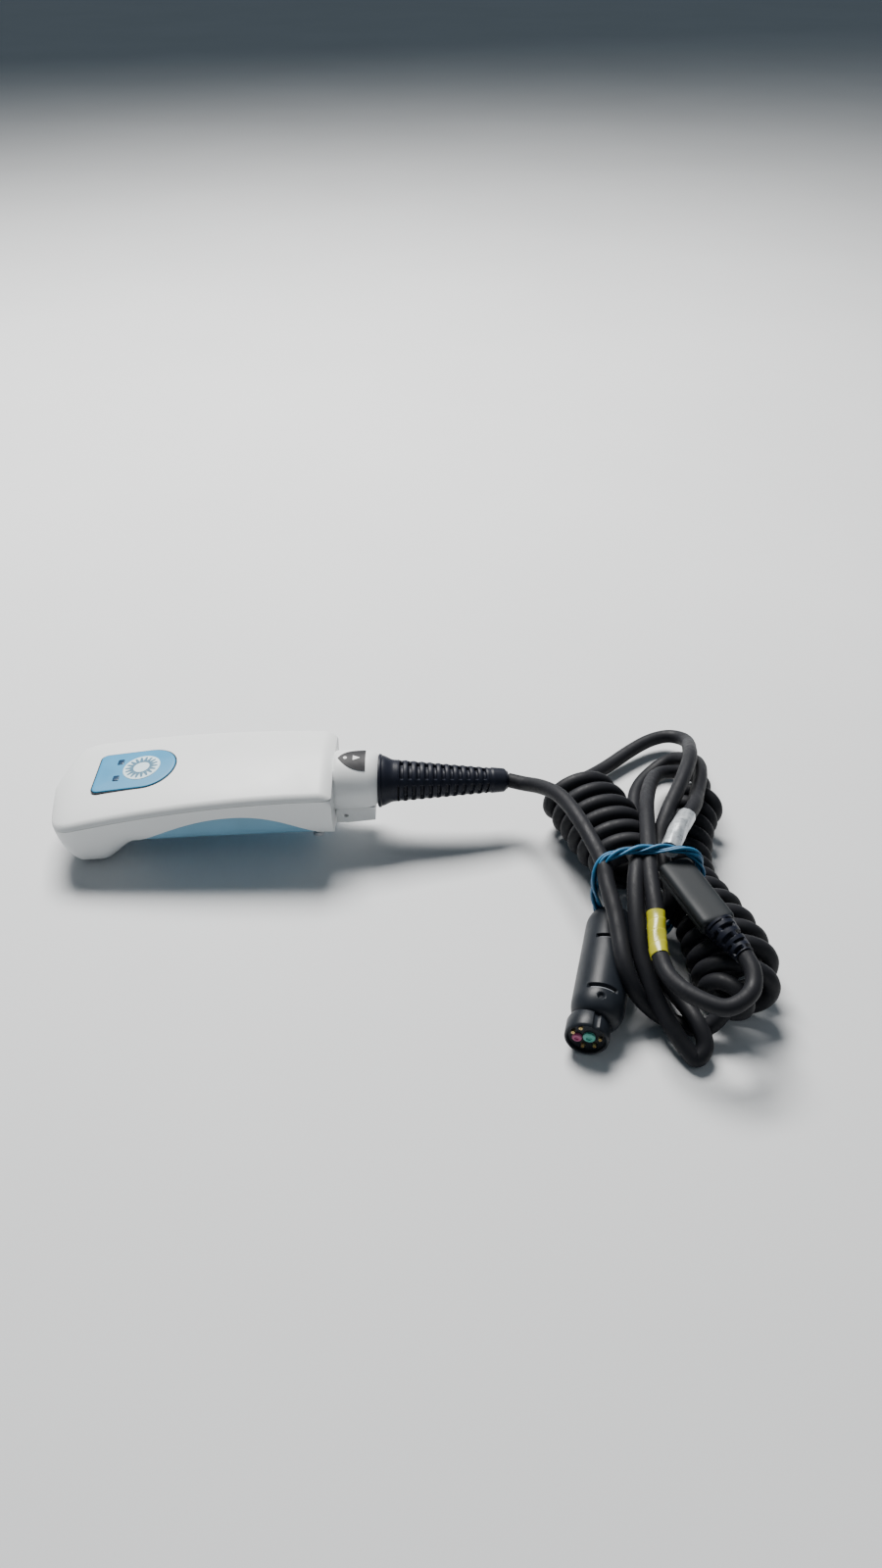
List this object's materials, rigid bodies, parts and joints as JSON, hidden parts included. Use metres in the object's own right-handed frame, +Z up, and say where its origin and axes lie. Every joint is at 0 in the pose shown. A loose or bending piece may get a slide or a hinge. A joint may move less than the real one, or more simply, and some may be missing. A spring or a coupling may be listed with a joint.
{
  "type": "handheld barcode scanner",
  "caption": "Hand-held barcode scanner with a bowed top, sprung D-shaped trigger key, grip belly, ribbed boot and a banded coiled lead.",
  "frame": {"origin": "on the ground under the middle of the scanner's body, measured without the boot, the lead and what is on it", "axes": "+X from the reading nose to the cable collar, +Z up, Y across the body"},
  "size_m": [0.3377, 0.228, 0.0487],
  "materials": {
    "white_shell": "satin, fine moulded grain",
    "blue_grip": "soft-touch, matt",
    "blue_key": "satin gloss, moulded",
    "pale_emblem": "satin",
    "status_lens": "smoked lens",
    "dark_plastic": "fine grain",
    "red_window": "polished, red tinted",
    "black_rubber": "satin",
    "circuit_board": "solder mask",
    "chip_epoxy": "matt",
    "ivory_plastic": "moulded",
    "black_metal": "black anodised",
    "lens_glass": "coated",
    "red_lamp": "clear epoxy lamp",
    "steel": "zinc plated",
    "mark_grey": "printed inlay",
    "cable_jacket": "satin PU jacket",
    "yellow_tape": "adhesive tape",
    "coupler_plastic": "overmoulded, satin",
    "silver_sleeve": "clear sleeve over foil",
    "latch_plastic": "moulded",
    "contact_brass": "plated",
    "blue_band": "matt, stretched"
  },
  "bodies": {
    "scanner": {"top_cover": "white_shell", "lower_housing": "white_shell", "grip_insert": "blue_grip", "window_bezel": "dark_plastic", "reading_window": "red_window", "panel_gasket": "black_rubber", "trigger_switch": "dark_plastic", "main_board": "circuit_board", "board_chips": "chip_epoxy", "beeper": "dark_plastic", "board_socket": "ivory_plastic", "sensor_board": "circuit_board", "line_sensor": "chip_epoxy", "lens_barrel": "black_metal", "lens_glass": "lens_glass", "light_bar": "ivory_plastic", "lamp_row": "red_lamp", "housing_screws": "steel", "cable_collar": "white_shell", "clip_pin": "steel", "collar_mark": "mark_grey", "collar_seal": "black_rubber", "cable_plug": "dark_plastic", "strain_boot": "black_rubber", "scanner_lead": "cable_jacket", "curl_right": "cable_jacket", "middle_lead": "cable_jacket", "tape_wrap": "yellow_tape", "coupler_relief": "black_rubber", "coupler_body": "coupler_plastic", "coupler_sleeve": "silver_sleeve", "tail_lead": "cable_jacket", "curl_left": "cable_jacket", "loop_lead": "cable_jacket", "plug_lead": "cable_jacket", "ferrite_case": "dark_plastic", "ferrite_latches": "latch_plastic", "end_plug": "dark_plastic", "plug_contacts": "contact_brass", "rubber_band": "blue_band"},
    "trigger": {"trigger_key": "blue_key", "key_emblem": "pale_emblem", "status_lights": "status_lens"},
    "clip": {"collar_clip": "white_shell"}
  },
  "joints": [
    {"name": "trigger_press", "type": "slide", "parent": "scanner", "child": "trigger", "axis": [0.1495, 0, -0.9888], "range_m": [0, 0.0008], "stiffness_N_per_m": 900},
    {"name": "collar_clip_hinge", "type": "hinge", "parent": "scanner", "child": "clip", "pos_m": [0.0635, 0, 0.0182], "axis": [0, 1, 0], "range_deg": [0, 8], "stiffness_Nm_per_rad": 0.6}
  ]
}
